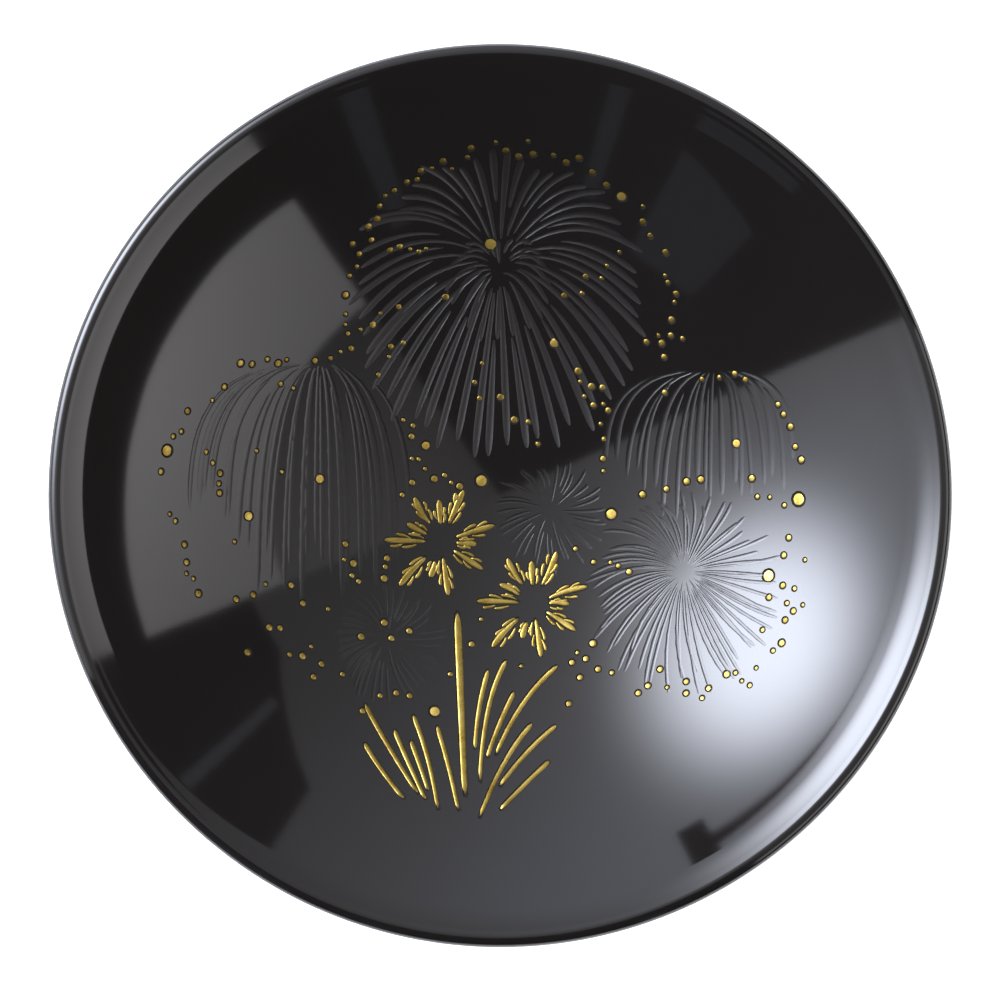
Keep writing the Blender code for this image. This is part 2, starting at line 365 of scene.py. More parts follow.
def on_dish(shape, plan, height):
    """The place over a plan point at a height above the inside of the bowl, in millimetres."""
    centre = sphere_centre(shape)
    drop = math.sqrt(shape.dish_radius**2 - plan.x**2 - plan.y**2)
    foot = Vector((plan.x, plan.y, centre.z - drop))
    return centre + (foot - centre) * (1 - height / shape.dish_radius)


def bezier(points, share):
    """A point on the smooth arc through a start, a middle and an end."""
    start, middle, end = points
    control = 2 * middle - (start + end) / 2
    return (1 - share) ** 2 * start + 2 * share * (1 - share) * control + share**2 * end


def lip_curve_radius(shape):
    """Radius of the bend that turns the wall out to the lip, after a short straight run."""
    lip_end = shape.rim_radius - shape.lip_thickness / 2 * (1 + math.sin(shape.lip_tilt))
    turn = math.sin(shape.steepest) - math.sin(shape.lip_tilt)
    bend_start = shape.dish_radius * math.sin(shape.steepest) + shape.straight_run * math.cos(shape.steepest)
    return (lip_end - bend_start) / turn


def body_profile(shape):
    """Half outline of the lacquered bowl as (radius, height): inside, lip, outside, foot, base."""
    centre_z = sphere_centre(shape).z
    bend = lip_curve_radius(shape)
    slope_sin, slope_cos = math.sin(shape.steepest), math.cos(shape.steepest)

    def wall(share, depth):
        """A point of the wall: share is 1 where the lip's bend starts and 2 at the lip."""
        if share <= 1:
            tilt = share * shape.steepest
            reach = shape.dish_radius + depth
            return reach * math.sin(tilt), centre_z - reach * math.cos(tilt)
        tilt = shape.steepest + (share - 1) * (shape.lip_tilt - shape.steepest)
        hub = shape.dish_radius + bend
        out = hub * slope_sin + shape.straight_run * slope_cos
        up = centre_z - hub * slope_cos + shape.straight_run * slope_sin
        return out - (bend - depth) * math.sin(tilt), up + (bend - depth) * math.cos(tilt)

    def thickness(share):
        """Thickness of the wall, from the floor's to the lip's."""
        rise = max(0.0, share - 0.5) / 1.5
        return shape.floor_thickness + (shape.lip_thickness - shape.floor_thickness) * rise

    inside = [wall(i / 40, 0) for i in range(41)] + [wall(1 + i / 12, 0) for i in range(12)]
    middle = wall(2, shape.lip_thickness / 2)
    reach = shape.lip_thickness / 2 + shape.bead_proud
    bead = []
    for step in range(17):
        angle = math.pi / 2 + shape.lip_tilt - math.radians(200) * step / 16
        bead.append((middle[0] + reach * math.cos(angle), middle[1] + reach * math.sin(angle)))
    outer, inner = shape.foot_top_radius, shape.foot_inner_radius
    back_radius = shape.dish_radius + shape.floor_thickness
    foot_share = math.asin(outer / back_radius) / shape.steepest
    lip_shares = [2 - i / 8 for i in range(2, 8)]
    dish_shares = [1 - i / 20 for i in range(20) if 1 - i / 20 > foot_share + 0.01]
    outside = [wall(share, thickness(share)) for share in lip_shares + dish_shares + [foot_share]]
    top = outside[-1][1]
    foot = [
        (outer - 0.5, top - 0.5),
        (outer - 0.9, top - 1.3),
        (outer - 2.2, 1.4),
        (outer - 2.4, 0.6),
        (outer - 3.0, 0.12),
        (outer - 3.7, 0.0),
        (inner + 1.2, 0.0),
        (inner + 0.5, 0.12),
        (inner + 0.1, 0.6),
        (inner, 1.4),
    ]
    recess_share = math.asin(inner / back_radius) / shape.steepest
    base_shares = [recess_share * (1 - i / 10) for i in range(11)]
    base = [wall(share, shape.floor_thickness) for share in base_shares]
    return inside + bead + outside + foot + base


def mesh_object(name, bm, *materials, unit=MM):
    """Turns a bmesh into an object at the origin; unit is the bmesh's unit of length in metres."""
    bmesh.ops.scale(bm, vec=(unit, unit, unit), verts=bm.verts)
    mesh = bpy.data.meshes.new(name)
    bm.to_mesh(mesh)
    bm.free()
    obj = bpy.data.objects.new(name, mesh)
    bpy.context.scene.collection.objects.link(obj)
    for material in materials:
        mesh.materials.append(material)
    return obj


def turn(bm, outline, angle, steps, closed):
    """Sweeps a line of points round Z."""
    verts = [bm.verts.new(point) for point in outline]
    edges = [bm.edges.new(pair) for pair in zip(verts, verts[1:])]
    bmesh.ops.spin(
        bm,
        geom=verts + edges,
        axis=(0, 0, 1),
        cent=(0, 0, 0),
        angle=angle,
        steps=steps,
        use_merge=closed,
        use_duplicate=False,
    )


def shade_smooth(bm):
    """Turns every face outwards and shades it smooth."""
    bmesh.ops.recalc_face_normals(bm, faces=bm.faces)
    for face in bm.faces:
        face.smooth = True


def turned_body(shape):
    """The whole outline turned once round Z, as one closed skin."""
    bm = bmesh.new()
    outline = [(radius, 0, height) for radius, height in body_profile(shape)]
    turn(bm, outline, 2 * math.pi, shape.segments, True)
    bmesh.ops.remove_doubles(bm, verts=bm.verts, dist=0.001)
    shade_smooth(bm)
    return bm


# ---------------- strokes


# Places of the cuts' materials on the lacquer, whose first material is the polished one.
MATT_CUT = 1
POLISHED_CUT = 2
GOLD_BED = 3

# A cutter is a little wider than its cut and stands up well over the lacquer.
CUTTER_MARGIN = 0.06
CUTTER_RISE = 0.5
PIT_MARGIN = 0.3
PIT_HALF_DEPTH = 0.24
GOLD_THICKNESS = 0.12


class Stroke:
    """One cut: a smooth path seen from above, with its width and depth along it."""

    def __init__(self, path, width, depth, steps=10, start_width=0.35, blunt=0.08, finish=MATT_CUT):
        self.path = path
        self.width = width
        self.depth = depth
        self.steps = steps
        self.start_width = start_width
        self.blunt = blunt
        self.finish = finish

    def half_width(self, share):
        """Narrow at its start, full after two thirds, with a round end."""
        swell = self.start_width + (1 - self.start_width) * min(1.0, share / 0.65) ** 0.8
        if share > 1 - self.blunt:
            swell *= math.sqrt(max(0.0, 1 - ((share - 1 + self.blunt) / self.blunt) ** 2)) * 0.85 + 0.15
        return self.width / 2 * swell

    def side(self, share):
        """The direction to the left of the path."""
        ahead = min(share + 0.01, 1.0)
        along = self.path(ahead) - self.path(ahead - 0.01)
        return Vector((-along.y, along.x)).normalized()

    def place(self, share, across):
        """A plan point of the cut; across goes from -1 to 1."""
        return self.path(share) + self.side(share) * across * self.half_width(share)


def lay_strip(bm, shape, stroke, height, grow):
    """A strip of faces along a stroke, wider than it by grow on each side; returns the faces.

    height(share, across) is the strip's height over the lacquer.
    """
    made = bmesh.ops.create_grid(bm, x_segments=stroke.steps, y_segments=4, size=1)
    for vertex in made["verts"]:
        share = 1 - (0.5 - vertex.co.x / 2) ** 1.5
        across = vertex.co.y
        plan = stroke.place(share, across) + stroke.side(share) * across * grow
        vertex.co = on_dish(shape, plan, height(share, across))
    return list({face for vertex in made["verts"] for face in vertex.link_faces})


def raise_faces(bm, shape, faces, rise):
    """Makes a strip solid by lifting a copy of it, straight up from the dish."""
    made = bmesh.ops.extrude_face_region(bm, geom=faces, use_keep_orig=True)
    centre = sphere_centre(shape)
    for item in made["geom"]:
        if isinstance(item, bmesh.types.BMVert):
            item.co = centre + (item.co - centre) * (1 - rise / shape.dish_radius)


def end_taper(share, run):
    """Rises from 0 to 1 over the first run of a stroke and falls back over the last."""
    return min(1.0, share / run, (1 - share) / run)


def cut_strip(bm, shape, stroke):
    """The cutter of one stroke: round-bottomed, and shallow at its ends."""

    def height(share, across):
        hollow = stroke.depth * (1 - across * across) * end_taper(share, 0.12) ** 0.7
        return 0.04 - hollow * 1.1

    faces = lay_strip(bm, shape, stroke, height, CUTTER_MARGIN)
    for face in faces:
        face.material_index = stroke.finish
    raise_faces(bm, shape, faces, CUTTER_RISE)


def flat_ball(bm, shape, plan, height, radius, half, subdivisions=2):
    """A ball flattened towards the dish, its centre at a height over the lacquer; returns its vertices."""
    made = bmesh.ops.create_icosphere(bm, subdivisions=subdivisions, radius=1)
    centre = on_dish(shape, plan, height)
    up = (sphere_centre(shape) - centre).to_track_quat("Z", "Y").to_matrix().to_4x4()
    matrix = Matrix.Translation(centre) @ up @ Matrix.Diagonal((radius, radius, half, 1))
    bmesh.ops.transform(bm, matrix=matrix, verts=made["verts"])
    return made["verts"]


def cut_pit(bm, shape, plan, radius):
    """The cutter of one round pit, a little wider than its gold."""
    for vertex in flat_ball(bm, shape, plan, CUTTER_MARGIN, radius + PIT_MARGIN, PIT_HALF_DEPTH):
        for face in vertex.link_faces:
            face.material_index = GOLD_BED


def fallen(centre, angle, reach, drop, start, sway):
    """The path of a spark that flies from a centre, sways and falls; its cut begins at the share start."""

    def path(share):
        time = start + (1 - start) * share
        direction = angle + sway * time * time
        out = Vector((math.cos(direction), math.sin(direction))) * reach * time
        return centre + out - Vector((0, drop * time * time))

    return path


def arched(centre, end, drop, start):
    """The path of a spark thrown from a centre to an end, arched by drop; its cut begins at start."""

    def path(share):
        time = start + (1 - start) * share
        return centre + (end - centre) * time + Vector((0, drop * time * (1 - time)))

    return path


def falling_shell(rng, centre, reach, sink, drop, count):
    """The (end, drop) of every spark of a shell whose sparks fall, evenly spread round its centre."""
    for k in range(count):
        angle = 2 * math.pi * (k + rng.uniform(-0.15, 0.15)) / count
        far = reach * rng.uniform(0.9, 1.04)
        end = centre + Vector((far * math.cos(angle), far * math.sin(angle) - sink))
        yield end, drop * (0.2 + 0.8 * abs(math.cos(angle)) ** 0.7) * rng.uniform(0.9, 1.1)


def crown_strokes(deco, rng):
    """The great chrysanthemum shell: petals that fall in a dome, and short curls at its heart."""
    centre = Vector((-0.2, 62.4))
    strokes = []
    for k, (end, drop) in enumerate(falling_shell(rng, centre, 41.5, 11.0, 30.0, 54)):
        start = rng.uniform(0.1, 0.2) if k % 2 else rng.uniform(0.34, 0.46)
        width = rng.uniform(1.6, 2.2)
        path = arched(centre, end, drop, start)
        strokes.append(Stroke(path, width, deco.stroke_depth * 1.25, 14, 0.3, 0.18))
    heart = centre - Vector((0, 2.5))
    for end, drop in falling_shell(rng, heart, 14.5, 4.5, 19.0, 20):
        path = arched(heart, end, drop, rng.uniform(0.05, 0.35))
        strokes.append(Stroke(path, 1.3, deco.stroke_depth, 9, 0.4, 0.2))
    return strokes


def willow_strokes(deco, rng, top, left, right, fall, count):
    """A willow shell: streams that leave its top and hang down."""
    strokes = []
    for k in range(count):
        side = (k + 0.5 + rng.uniform(-0.35, 0.35)) / count
        spread = left + (right - left) * side
        reach = abs(spread) / max(abs(left), abs(right))
        length = fall * (1 - 0.4 * reach**2) * rng.uniform(0.72, 1.05)
        start = rng.uniform(0.03, 0.12) if k % 2 else rng.uniform(0.18, 0.36)
        bow = rng.uniform(1.9, 2.6)

        def path(share, spread=spread, length=length, start=start, bow=bow):
            time = start + (1 - start) * share
            out = spread * (1 - (1 - time) ** bow)
            return top + Vector((out, 2.0 * math.sin(math.pi * time) - length * time**1.7))

        width = rng.uniform(1.4, 2.2)
        strokes.append(Stroke(path, width, deco.stroke_depth * 0.55, 14, 0.4, 0.2, POLISHED_CUT))
    return strokes


def round_burst(rng, centre, inner, outer, count, width, depth, sag=1.5):
    """A peony shell: fine sagging lines from its heart, three of every four starting further out."""
    strokes = []
    for k in range(count):
        angle = 2 * math.pi * (k + rng.uniform(-0.15, 0.15)) / count
        reach = outer * rng.uniform(0.8, 1.04)
        start = inner / reach * (rng.uniform(2.5, 4.5) if k % 4 else rng.uniform(0.5, 1.3))
        path = fallen(Vector(centre), angle, reach, sag, start, rng.uniform(0.05, 0.25))
        strokes.append(Stroke(path, width, depth, 8, 0.16, 0.1, POLISHED_CUT))
    return strokes


def engraved_strokes(deco):
    """Every black stroke of the picture."""
    rng = random.Random(7)
    strokes = crown_strokes(deco, rng)
    strokes += willow_strokes(deco, rng, Vector((-48.5, 35.5)), -36.0, 25.0, 66.0, 27)
    strokes += willow_strokes(deco, rng, Vector((57.5, 33.5)), -30.0, 22.0, 42.0, 20)
    strokes += round_burst(rng, (49.5, -20.5), 0.9, 27.5, 66, 1.15, 0.11, 6.0)
    strokes += round_burst(rng, (-30.5, -38.5), 1.5, 16.5, 36, 1.1, 0.08)
    strokes += round_burst(rng, (13.5, -4.0), 1.5, 16.0, 36, 1.1, 0.08)
    return strokes


# ---------------- gold

# Strokes of the fountain: tip, middle and foot.
STEM = ((-11.5, -30.5), (-10.5, -54.5), (-9.5, -77.0))
STEM_WIDENING = 1.5
LEFT_STROKES = (
    ((-36.5, -55.5), (-30.0, -67.0), (-23.0, -78.0)),
    ((-36.5, -66.0), (-32.0, -73.0), (-26.5, -80.0)),
    ((-28.5, -62.5), (-24.5, -71.5), (-20.5, -80.0)),
    ((-23.5, -58.5), (-19.5, -69.5), (-17.0, -82.0)),
    ((-24.0, -65.5), (-21.5, -72.0), (-19.5, -78.0)),
    ((-17.0, -61.5), (-14.0, -71.5), (-11.5, -82.5)),
)
RIGHT_STROKES = (
    ((-3.0, -46.5), (-5.5, -56.5), (-6.5, -66.5)),
    ((2.0, -44.0), (-3.0, -56.0), (-5.0, -74.0)),
    ((4.0, -52.5), (0.0, -61.0), (-3.0, -69.0)),
    ((16.0, -45.5), (7.0, -54.5), (0.0, -67.5)),
    ((9.0, -61.0), (2.0, -70.0), (-4.5, -84.0)),
    ((15.5, -61.5), (8.0, -68.0), (1.0, -76.5)),
    ((13.5, -71.0), (7.5, -76.5), (1.0, -83.0)),
)
# Petals of a burst: angle in degrees, and the distances of root and tip from the centre.
PETALS = (
    (178, 3.4, 15.5),
    (151, 4.1, 10.5),
    (120, 5.4, 14.2),
    (92, 4.4, 11.5),
    (66, 4.8, 15.5),
    (17, 3.8, 15.5),
    (-2, 4.0, 9.8),
    (-33, 3.8, 13.8),
    (-82, 3.8, 14.8),
    (-107, 5.2, 10.0),
    (-133, 5.2, 16.5),
)
BURSTS = {"upper": (-16.0, -12.5), "lower": (9.0, -29.0)}
# Large stars: x, y, radius.
STARS = (
    (-2.5, 67.5, 2.0),
    (-5.0, 4.0, 1.9),
    (-17.5, -58.0, 1.7),
    (32.5, 80.0, 1.6),
    (-89.0, 12.0, 1.8),
    (80.0, -1.0, 2.1),
    (30.0, -5.0, 1.7),
    (72.0, -21.5, 1.9),
    (-67.5, -5.5, 1.4),
    (-48.5, 4.5, 1.4),
    (63.5, 14.0, 1.3),
    (-20.0, 13.5, 1.3),
    (14.5, 41.0, 1.3),
)
# Strings of small dots in three groups. A string is x and y of the start, middle and end of an arc, the
# number of its dots, and how far they stray from it.
STRINGS = {
    "crown": (
        (-30.5, 66.0, -25.0, 66.5, -19.0, 65.5, 5, 0.5),
        (-38.0, 44.0, -30.0, 50.0, -15.5, 50.5, 6, 2.4),
        (-37.0, 32.0, -28.0, 40.0, -22.0, 37.5, 6, 1.6),
        (20.0, 55.5, 27.0, 59.0, 35.0, 62.5, 8, 1.6),
        (40.0, 40.5, 44.0, 42.5, 48.0, 41.0, 11, 1.9),
        (21.0, 32.0, 27.0, 23.0, 27.0, 3.0, 17, 1.4),
        (-7.0, 34.0, 1.0, 23.0, 15.0, 14.0, 8, 2.2),
        (-25.0, 21.0, -23.0, 12.0, -24.5, 0.5, 12, 1.6),
        (-18.0, 6.0, -13.5, 4.5, -10.0, 1.0, 6, 1.2),
    ),
    "left": (
        (-92.3, 5.2, -81.8, 22.5, -70.2, 30.2, 10, 0.9),
        (-72.0, 35.0, -61.0, 36.5, -43.5, 37.0, 7, 0.7),
        (-62.0, 29.5, -57.0, 29.0, -51.5, 28.0, 2, 0.4),
        (-79.0, 11.5, -77.0, 6.5, -73.5, -0.5, 6, 1.0),
        (-66.0, 12.5, -60.0, 7.0, -51.0, 5.5, 3, 0.5),
        (-88.5, -3.0, -84.5, -14.0, -81.0, -28.0, 9, 0.7),
        (-72.0, -11.5, -71.5, -12.0, -71.0, -12.5, 1, 0.1),
        (-71.5, -30.0, -66.0, -26.0, -62.5, -24.0, 3, 0.6),
        (-68.0, -41.5, -67.0, -43.5, -67.5, -45.0, 2, 0.2),
        (-41.0, -12.5, -40.5, -20.0, -37.5, -24.5, 6, 0.8),
        (-33.0, -18.0, -30.5, -20.0, -33.0, -24.0, 4, 0.9),
        (-60.5, -35.0, -54.0, -42.0, -45.0, -51.0, 12, 2.6),
        (-38.0, -35.0, -30.0, -38.0, -24.0, -32.0, 4, 2.0),
        (-43.5, -30.0, -55.0, -27.0, -50.0, -20.0, 3, 1.5),
        (-38.5, -61.5, -31.0, -54.0, -22.5, -56.5, 4, 0.8),
    ),
    "right": (
        (43.0, 27.0, 57.5, 31.5, 68.0, 31.0, 5, 0.7),
        (76.0, 25.0, 77.0, 20.0, 81.0, 9.0, 6, 0.8),
        (39.0, 2.0, 49.0, 2.0, 58.0, 7.0, 4, 1.0),
        (66.0, 5.0, 74.0, -3.0, 77.0, -12.0, 8, 1.8),
        (22.0, -17.0, 28.0, -18.0, 38.0, -19.0, 6, 1.4),
        (80.0, -17.0, 77.0, -30.0, 70.0, -40.0, 12, 2.0),
        (24.0, -38.0, 30.0, -47.0, 46.0, -52.0, 11, 1.8),
        (46.0, -50.0, 57.0, -52.0, 68.0, -46.0, 12, 1.8),
        (19.0, -40.0, 22.0, -49.0, 17.0, -58.0, 6, 1.6),
        (4.0, -45.5, 7.0, -46.0, 9.0, -46.5, 2, 0.3),
        (-5.0, -34.5, -9.0, -41.0, -15.5, -51.0, 4, 0.8),
    ),
}


def gold_line(points, width, depth=0.34, steps=12, blunt=0.06, start_width=0.85):
    """The cut of a gold stroke through three plan points."""
    ends = [Vector(p) for p in points]

    def path(share):
        return bezier(ends, share)

    return Stroke(path, width, depth, steps, start_width, blunt, GOLD_BED)


def fountain_strokes(deco, points_list, width):
    """The strokes of the fountain, running on a little past their lower ends."""
    strokes = []
    for points in points_list:
        top, middle, foot = (Vector(p) for p in points)
        run = (foot - middle) * deco.run_on
        strokes.append(gold_line((foot + run, middle + run * 0.4, top), width))
    return strokes


def petal_strokes(centre, degrees, inner, outer, rng):
    """A feathery petal: a stout shaft and short barbs that leave it at a slant."""
    angle = math.radians(degrees)
    along = Vector((math.cos(angle), math.sin(angle)))
    side = Vector((-along.y, along.x))
    origin = Vector(centre)
    length = outer - inner
    root, tip = origin + along * inner, origin + along * outer
    sway = side * rng.uniform(-0.5, 0.5)
    lines = [gold_line((root, (root + tip) / 2 + sway, tip), 2.3, 0.3, 10, 0.3, 0.5)]
    barbs = 4 if length > 8 else 3
    for number in range(barbs):
        hand = 1 if number % 2 else -1
        start = root + along * length * (0.06 + 0.16 * number) + side * hand * 0.7
        reach = length * (0.4 - 0.03 * number)
        out = start + along * reach + side * hand * reach * 0.24
        middle = (start + out) / 2 + side * hand * 0.3
        lines.append(gold_line((start, middle, out), 1.25, 0.24, 7, 0.2, 0.5))
    return lines


def lay_gold(bm, shape, deco, stroke):
    """The inlay of one stroke: narrower than its cut and domed, with a broken grain."""
    middle = stroke.path(0.5)
    rng = random.Random(int(middle.x * 31 + middle.y * 17))

    def height(share, across):
        grain = rng.uniform(-0.015, 0.015)
        fall = deco.gold_dome * across * across + 0.06 * (1 - end_taper(share, 0.08))
        return grain - deco.gold_sink - fall - GOLD_THICKNESS

    gap = 0.07 * stroke.width + 0.03
    raise_faces(bm, shape, lay_strip(bm, shape, stroke, height, -gap), GOLD_THICKNESS)


def lay_gold_dot(bm, shape, deco, plan, radius, subdivisions=2):
    """The inlay of one round pit: a flattened ball of gold whose top just stays under the lacquer."""
    half = 0.14 + 0.05 * radius
    flat_ball(bm, shape, plan, -deco.gold_sink - half, radius, half, subdivisions)


def crown_ring(rng, size):
    """The small dots that ring the great shell."""
    dots = []
    heart = Vector((2.2, 48.6))
    for k in range(54):
        angle = math.radians(196 - 206 * (k + rng.uniform(0, 1)) / 54)
        place = heart + Vector((math.cos(angle), math.sin(angle))) * (43.9 + rng.gauss(0, 1.1))
        dots.append((place, size * rng.choice((0.65, 0.8, 1.0, 1.2))))
    return dots


def strung_dots(rng, size, strings):
    """The small dots that are strewn along strings."""
    dots = []
    for *arc, count, stray in strings:
        points = [Vector(arc[start : start + 2]) for start in (0, 2, 4)]
        for k in range(count):
            share = (k + rng.uniform(0.1, 0.9)) / count
            place = bezier(points, share) + Vector((rng.gauss(0, stray), rng.gauss(0, stray)))
            dots.append((place, size * rng.choice((0.65, 0.8, 1.0, 1.0, 1.2))))
    return dots


def apart(dots, taken, gap=0.5):
    """The dots that touch no dot before them."""
    kept = []
    for place, radius in dots:
        clear = all((place - other).length > radius + size + gap for other, size in taken + kept)
        if clear:
            kept.append((place, radius))
    return kept


def star_dots():
    """The place and radius of every large star."""
    return [(Vector((x, y)), radius) for x, y, radius in STARS]


def scattered_dots(deco):
    """The small gold dots in three groups, none of them touching another or a large star."""
    rng = random.Random(23)
    taken = star_dots()
    groups = {}
    for name, strings in STRINGS.items():
        dots = crown_ring(rng, deco.dot_radius) if name == "crown" else []
        dots += strung_dots(rng, deco.dot_radius, strings)
        groups[name] = apart(dots, taken)
        taken += groups[name]
    return groups


def burst_lines():
    """The strokes of each gold burst, by burst."""
    rng = random.Random(11)
    return {
        place: [line for petal in PETALS for line in petal_strokes(centre, *petal, rng)]
        for place, centre in BURSTS.items()
    }


# ---------------- carving the lacquer


def carve(body, cutter):
    """Cuts the cutter out of the body for good, and removes the cutter."""
    modifier = body.modifiers.new("Carve", "BOOLEAN")
    modifier.operation = "DIFFERENCE"
    modifier.solver = "MANIFOLD"
    modifier.object = cutter
    graph = bpy.context.evaluated_depsgraph_get()
    carved = bpy.data.meshes.new_from_object(body.evaluated_get(graph))
    body.modifiers.clear()
    old = body.data
    body.data = carved
    bpy.data.meshes.remove(old)
    bpy.data.objects.remove(cutter)


def footprint(cut):
    """The plan points and half widths that a cut covers."""
    if isinstance(cut, Stroke):
        shares = [step / 11 for step in range(12)]
        return [(cut.path(share), cut.half_width(share) + 0.1) for share in shares]
    plan, radius = cut
    return [(plan, radius + 0.06)]


def box_of(prints):
    """The low and high corners of a footprint."""
    lows = [spot - Vector((half, half)) for spot, half in prints]
    highs = [spot + Vector((half, half)) for spot, half in prints]
    low = Vector((min(spot.x for spot in lows), min(spot.y for spot in lows)))
    high = Vector((max(spot.x for spot in highs), max(spot.y for spot in highs)))
    return low, high


def half_step(prints):
    """Half of the longest step between neighbouring points of a footprint."""
    steps = [(here - there).length for (here, _), (there, _) in zip(prints, prints[1:])]
    return max(steps, default=0) / 2


def touch(first, second):
    """Whether two boxed footprints come near enough to each other for their cutters to meet."""
    (low_a, high_a), prints_a = first
    (low_b, high_b), prints_b = second
    if low_a.x > high_b.x or low_b.x > high_a.x or low_a.y > high_b.y or low_b.y > high_a.y:
        return False
    reach = math.hypot(half_step(prints_a), half_step(prints_b))
    return any(
        (here - there).length < max(half_a + half_b, 0.5 * (half_a + half_b) + reach)
        for here, half_a in prints_a
        for there, half_b in prints_b
    )


def sorted_apart(cuts):
    """Shares the cuts out among rounds, so that the cutters of one round never meet."""
    rounds = []
    for cut in cuts:
        prints = footprint(cut)
        entry = (box_of(prints), prints)
        for members in rounds:
            if not any(touch(entry, other) for _, other in members):
                members.append((cut, entry))
                break
        else:
            rounds.append([(cut, entry)])
    return [[cut for cut, _ in members] for members in rounds]


def true_normals(body, shape):
    """Gives the uncut dish the normals of its sphere, so that its mirror gloss stays whole round each cut.

    The edges between one finish and another stay sharp.
    """
    mesh = body.data
    centre = sphere_centre(shape) * MM
    reach = shape.dish_radius * MM
    limit = reach * math.sin(shape.steepest) * 0.999
    on_sphere = 0.03 * MM
    kinds = {}
    for polygon in mesh.polygons:
        polygon.use_smooth = True
        for key in polygon.edge_keys:
            kinds.setdefault(key, set()).add(polygon.material_index)
    sharp = {key for key, found in kinds.items() if len(found) > 1}
    for edge in mesh.edges:
        edge.use_edge_sharp = edge.key in sharp
    mesh.update()
    normals = [corner.vector.copy() for corner in mesh.corner_normals]
    for polygon in mesh.polygons:
        if polygon.material_index:
            continue
        for loop in polygon.loop_indices:
            point = mesh.vertices[mesh.loops[loop].vertex_index].co
            inward = centre - point
            if abs(inward.length - reach) < on_sphere and math.hypot(point.x, point.y) < limit:
                normals[loop] = inward.normalized()
    mesh.normals_split_custom_set(normals)


# ---------------- operators


def finish_piece(obj, slot, *nodes):
    """Puts a piece on the bowl's body, and hides the imported solids it stands for. Its slot is not used."""
    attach(obj, BODY)
    if nodes:
        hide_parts(*nodes)


def gold_piece(context, name, cuts, nodes, material=None):
    """Makes one gold piece: the inlays of its cuts, in the usual gold unless a material is given."""
    shape, deco = context.scene.bowl_shape, context.scene.bowl_decoration
    bm = bmesh.new()
    for cut in cuts:
        if isinstance(cut, Stroke):
            lay_gold(bm, shape, deco, cut)
        else:
            lay_gold_dot(bm, shape, deco, *cut)
    shade_smooth(bm)
    finish_piece(mesh_object(name, bm, material or usual_gold(context)), "gold", *nodes)


def usual_gold(context):
    """The gold of the strokes and small dots, made once."""
    found = bpy.data.materials.get("pressed_gold")
    finish = context.scene.bowl_finish
    return found or gold_material("pressed_gold", finish, finish.gold_roughness)


class BOWL_OT_lacquer(bpy.types.Operator):
    """Turn the lacquered bowl and carve every stroke and pit into it"""

    bl_idname = "bowl.lacquer"
    bl_label = "Lacquer body"

    def execute(self, context):
        scene = context.scene
        shape, deco, finish = scene.bowl_shape, scene.bowl_decoration, scene.bowl_finish
        polished = lacquer_material("black_lacquer", finish, finish.lacquer_roughness, 0.05)
        # The broad cuts are rougher. Their black is also painted 1.7 times paler: painted light for the grey
        # sheen they catch.
        matt = lacquer_material("matt_cut_lacquer_painted_paler", finish, finish.cut_roughness, 0.1, 1.7)
        bright = lacquer_material("bright_cut_lacquer", finish, finish.cut_roughness * 0.55, 0.08)
        finishes = (polished, matt, bright, bed_material())
        body = mesh_object("lacquer_body", turned_body(shape), *finishes)
        cuts = engraved_strokes(deco)
        cuts += fountain_strokes(deco, LEFT_STROKES + RIGHT_STROKES, deco.gold_stroke_width)
        cuts += fountain_strokes(deco, (STEM,), deco.gold_stroke_width * STEM_WIDENING)
        for lines in burst_lines().values():
            cuts += lines
        cuts += star_dots()
        for dots in scattered_dots(deco).values():
            cuts += dots
        for members in sorted_apart(cuts):
            bm = bmesh.new()
            for member in members:
                if isinstance(member, Stroke):
                    cut_strip(bm, shape, member)
                else:
                    cut_pit(bm, shape, *member)
            bmesh.ops.recalc_face_normals(bm, faces=bm.faces)
            carve(body, mesh_object("cuts", bm, *finishes))
        true_normals(body, shape)
        finish_piece(body, "black_lacquer", "inner_lacquer", "outer_lacquer", "foot_lacquer")
        return {"FINISHED"}


class BOWL_OT_fountain(bpy.types.Operator):
    """Lay the gold of the fountain"""

    bl_idname = "bowl.fountain"
    bl_label = "Gold fountain"

    def execute(self, context):
        deco = context.scene.bowl_decoration
        width = deco.gold_stroke_width
        groups = {
            "stem": ((STEM,), width * STEM_WIDENING, ["gold_stem"]),
            "left": (LEFT_STROKES, width, [f"gold_stroke_left_{i}" for i in range(1, 7)]),
            "right": (RIGHT_STROKES, width, [f"gold_stroke_right_{i}" for i in range(1, 8)]),
        }
        for name, (points_list, size, nodes) in groups.items():
            strokes = fountain_strokes(deco, points_list, size)
            gold_piece(context, f"gold_fountain_{name}", strokes, nodes)
        return {"FINISHED"}


class BOWL_OT_bursts(bpy.types.Operator):
    """Lay the gold of the two feathery bursts"""

    bl_idname = "bowl.bursts"
    bl_label = "Gold bursts"

    def execute(self, context):
        for place, lines in burst_lines().items():
            nodes = [f"gold_petal_{place}_{number:02d}" for number in range(1, len(PETALS) + 1)]
            gold_piece(context, f"gold_burst_{place}", lines, nodes)
        return {"FINISHED"}


class BOWL_OT_stars(bpy.types.Operator):
    """Lay the large gold stars and the small gold dots"""

    bl_idname = "bowl.stars"
    bl_label = "Gold stars and dots"

    def execute(self, context):
        finish = context.scene.bowl_finish
        # The stars' gold is the usual gold painted 1.5 times brighter: painted light standing in for the
        # highlights that their flat tops miss.
        star_gold_painted_bright = gold_material("star_gold_painted_bright", finish, finish.gold_roughness + 0.12, 1.5)
        finer = 3
        stars = [(place, radius, finer) for place, radius in star_dots()]
        nodes = [f"gold_star_{number:02d}" for number in range(1, len(STARS) + 1)]
        gold_piece(context, "gold_stars", stars, nodes, star_gold_painted_bright)
        for name, dots in scattered_dots(context.scene.bowl_decoration).items():
            gold_piece(context, f"gold_dots_{name}", dots, [])
        return {"FINISHED"}


